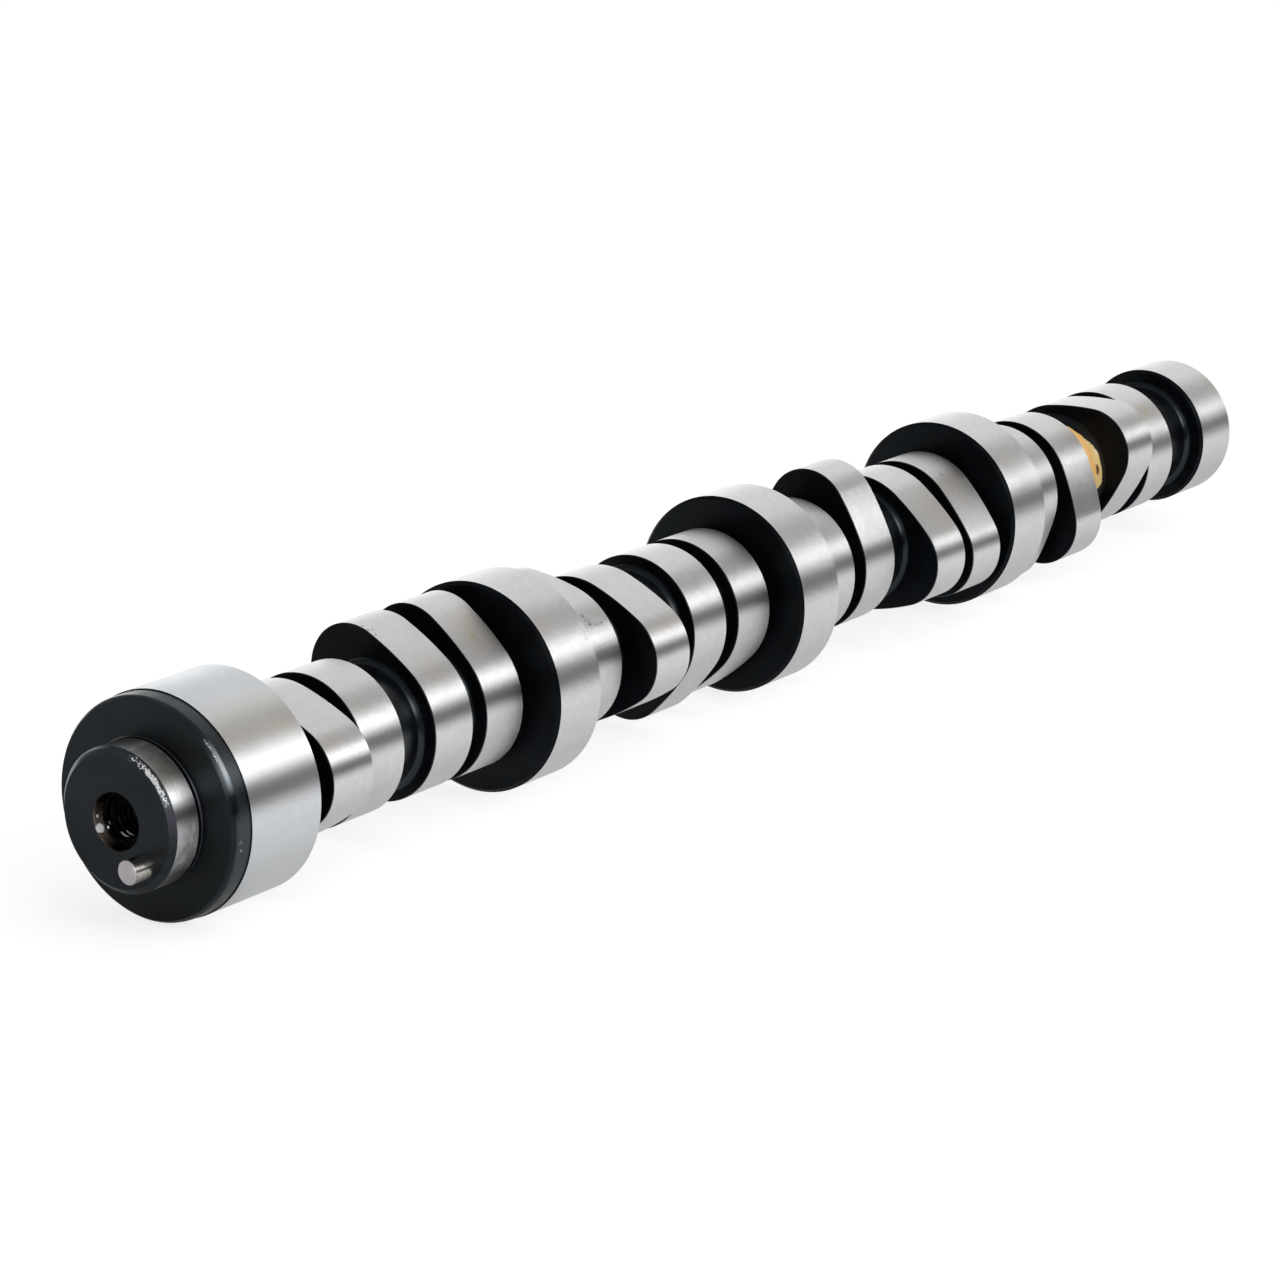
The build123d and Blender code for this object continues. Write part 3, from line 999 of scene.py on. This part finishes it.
# The studio's light by its turn round the shaft: the turn, the level towards the rear, the level
# towards the front, and how warm it is. A long soft box stands beside the camera, with a dark
# gap between it and the floor.
STUDIO_LIGHT = (
    (-180, 0.70, 0.20, 0.0),
    (-100, 1.50, 0.30, 0.0),
    (-80, 1.85, 0.25, -0.012),
    (-60, 1.22, 0.20, -0.012),
    (-40, 1.05, 0.25, -0.012),
    (-20, 1.10, 0.30, -0.008),
    (0, 1.00, 0.25, 0.005),
    (12, 0.58, 0.25, 0.025),
    (30, 0.42, 0.40, 0.04),
    (40, 0.26, 0.80, 0.035),
    (47, 0.24, 1.95, 0.0),
    (54, 0.32, 3.50, 0.0),
    (61, 0.34, 4.40, 0.0),
    (67, 0.24, 3.30, 0.0),
    (73, 0.20, 1.40, 0.0),
    (78, 0.18, 0.15, 0.0),
    (92, 0.16, 0.06, 0.0),
    (180, 0.70, 0.20, 0.0),
)
# The highest level that the ramps can hold.
STUDIO_TOP = 5.0
# The x of a direction at which only the front's or only the rear's levels show.
FRONT_SIDE, REAR_SIDE = 0.48, 0.67
# Little light comes from the front beyond this x of a direction.
FRONT_GAP = -0.52
GAP_SOFTNESS = 0.3
GAP_STRENGTH = 0.8
GAP_DARK = rgb(0.04, 0.04, 0.04)
WHITE = rgb(1.0, 1.0, 1.0)

FLOOR_FRONT, FLOOR_BACK = -0.42, 1.6
FLOOR_LEFT, FLOOR_RIGHT = -1.4, 2.4
# What the floor shows in the metal, by its distance behind the shaft's axis: a painted glow, lower
# right under the shaft as painted shadow.
FLOOR_LIGHT = (
    (-0.3, 0.25),
    (-0.2, 0.5),
    (-0.12, 0.84),
    (-0.075, 0.76),
    (-0.045, 0.68),
    (-0.029, 0.56),
    (0.0, 0.5),
    (0.02, 1.1),
    (0.05, 0.85),
    (0.165, 1.3),
    (0.25, 1.55),
)
FLOOR_WARMTH = -0.01
# The floor's painted glow in the metal is lower from under the snout forward, as painted shadow,
# and a little more again far in front: two places along x, and the share of its light at each.
FLOOR_FADING = (-0.026, 0.004, 0.26, 1.0)
FLOOR_FAR_FRONT = (-0.085, -0.05, 0.4, 0.0)
# The floor's colour to soft light, to the camera and to gloss, and its glow to the camera.
FLOOR_PALE = rgb(0.7, 0.71, 0.72)
FLOOR_SEEN = rgb(0.3, 0.3, 0.3)
FLOOR_IN_GLOSS = rgb(0.12, 0.12, 0.12)
FLOOR_GLOW = rgb(0.8, 0.8, 0.8)

LAMP_AT = (0.2, -0.5, 1.5)
LAMP_AIM = (0.2, 0.0, 0.0)
LAMP_WIDTH, LAMP_DEPTH = 2.0, 1.2
LAMP_ENERGY = 9.0


def levels(nodes, value, stops):
    """A ramp through pairs of a place and a colour. A new ramp has two marks already."""
    low, high = stops[0][0], stops[-1][0]
    share = nodes.math("DIVIDE", nodes.minus(value, low), high - low)
    ramp = nodes.add("ShaderNodeValToRGB", {"Fac": share})
    marks = ramp.color_ramp.elements
    for number, (place, colour) in enumerate(stops):
        at = (place - low) / (high - low)
        mark = marks[number] if number < 2 else marks.new(at)
        mark.position = at
        mark.color = rgb(*colour)
    return ramp.outputs[0]


def tinted(level, warmth):
    return level * (1 + warmth), level, level * (1 - warmth)


def seen_directly(nodes):
    """1 for the camera's own rays and for those that come through glass."""
    path = nodes.add("ShaderNodeLightPath")
    return nodes.either(path.outputs["Is Camera Ray"], path.outputs["Is Transmission Ray"])


def make_world():
    world = bpy.data.worlds.new("studio")
    bpy.context.scene.world = world
    world.use_nodes = True
    tree = world.node_tree
    tree.nodes.clear()
    nodes = Nodes(tree)
    direction = nodes.add("ShaderNodeTexCoord").outputs["Generated"]
    x = nodes.separate(direction)[0]
    turn = nodes.turn(direction)
    rear_stops, front_stops = [], []
    for place, rear, front, warmth in STUDIO_LIGHT:
        rear_stops.append((place, tinted(rear / STUDIO_TOP, warmth)))
        front_stops.append((place, tinted(front / STUDIO_TOP, warmth)))
    front_light = levels(nodes, turn, front_stops)
    rear_light = levels(nodes, turn, rear_stops)
    light = nodes.mix(nodes.scale(x, FRONT_SIDE, REAR_SIDE), front_light, rear_light)
    gap = nodes.scale(x, FRONT_GAP, FRONT_GAP + GAP_SOFTNESS, GAP_STRENGTH, 0.0)
    light = nodes.mix(gap, light, GAP_DARK)
    seen = seen_directly(nodes)
    strength = nodes.minus(STUDIO_TOP, nodes.times(seen, STUDIO_TOP - 1.0))
    inputs = {"Color": nodes.mix(seen, light, WHITE), "Strength": strength}
    background = nodes.add("ShaderNodeBackground", inputs)
    output = nodes.add("ShaderNodeOutputWorld")
    tree.links.new(background.outputs[0], output.inputs["Surface"])


def floor_material():
    """A pale floor that is white to the camera, and shows its own levels in the metal as a painted
    glow with painted shadow near the shaft.
    """
    made = bpy.data.materials.new("pale_floor")
    made.use_nodes = True
    tree = made.node_tree
    tree.nodes.clear()
    nodes = Nodes(tree)
    seen = seen_directly(nodes)
    glossy = nodes.add("ShaderNodeLightPath").outputs["Is Glossy Ray"]
    x, y = nodes.separate(nodes.place())[:2]
    colour = nodes.mix(seen, FLOOR_PALE, FLOOR_SEEN)
    colour = nodes.mix(glossy, colour, FLOOR_IN_GLOSS)
    diffuse = nodes.add("ShaderNodeBsdfDiffuse", {"Color": colour})
    shown = levels(nodes, y, [(at, tinted(level, FLOOR_WARMTH)) for at, level in FLOOR_LIGHT])
    glow = nodes.mix(seen, shown, FLOOR_GLOW)
    fading = nodes.either(nodes.scale(x, *FLOOR_FADING), nodes.scale(x, *FLOOR_FAR_FRONT))
    strength = nodes.either(seen, nodes.times(glossy, fading))
    glow = nodes.add("ShaderNodeEmission", {"Color": glow, "Strength": strength})
    both = nodes.add("ShaderNodeAddShader")
    tree.links.new(diffuse.outputs[0], both.inputs[0])
    tree.links.new(glow.outputs[0], both.inputs[1])
    output = nodes.add("ShaderNodeOutputMaterial")
    tree.links.new(both.outputs[0], output.inputs["Surface"])
    return made


def make_floor():
    low = CAD_BOX[0][2]
    verts = [
        (FLOOR_LEFT, FLOOR_FRONT, low),
        (FLOOR_RIGHT, FLOOR_FRONT, low),
        (FLOOR_RIGHT, FLOOR_BACK, low),
        (FLOOR_LEFT, FLOOR_BACK, low),
    ]
    mesh = bpy.data.meshes.new("floor")
    mesh.from_pydata(verts, [], [(0, 1, 2, 3)])
    mesh.materials.append(floor_material())
    add_object("floor", mesh)


def make_lamp():
    data = bpy.data.lights.new("overhead", "AREA")
    data.shape = "RECTANGLE"
    data.size = LAMP_WIDTH
    data.size_y = LAMP_DEPTH
    data.energy = LAMP_ENERGY
    lamp = add_object("overhead", data)
    lamp.location = LAMP_AT
    aim = Vector(LAMP_AIM) - lamp.location
    lamp.rotation_euler = aim.to_track_quat("-Z", "Y").to_euler()
    lamp.visible_glossy = False


make_camera()
finishes = body_materials()
make_body(finishes)
make_thread(finishes[BORE])
make_pin()
make_world()
make_floor()
make_lamp()
bpy.context.scene.view_settings.view_transform = "Standard"
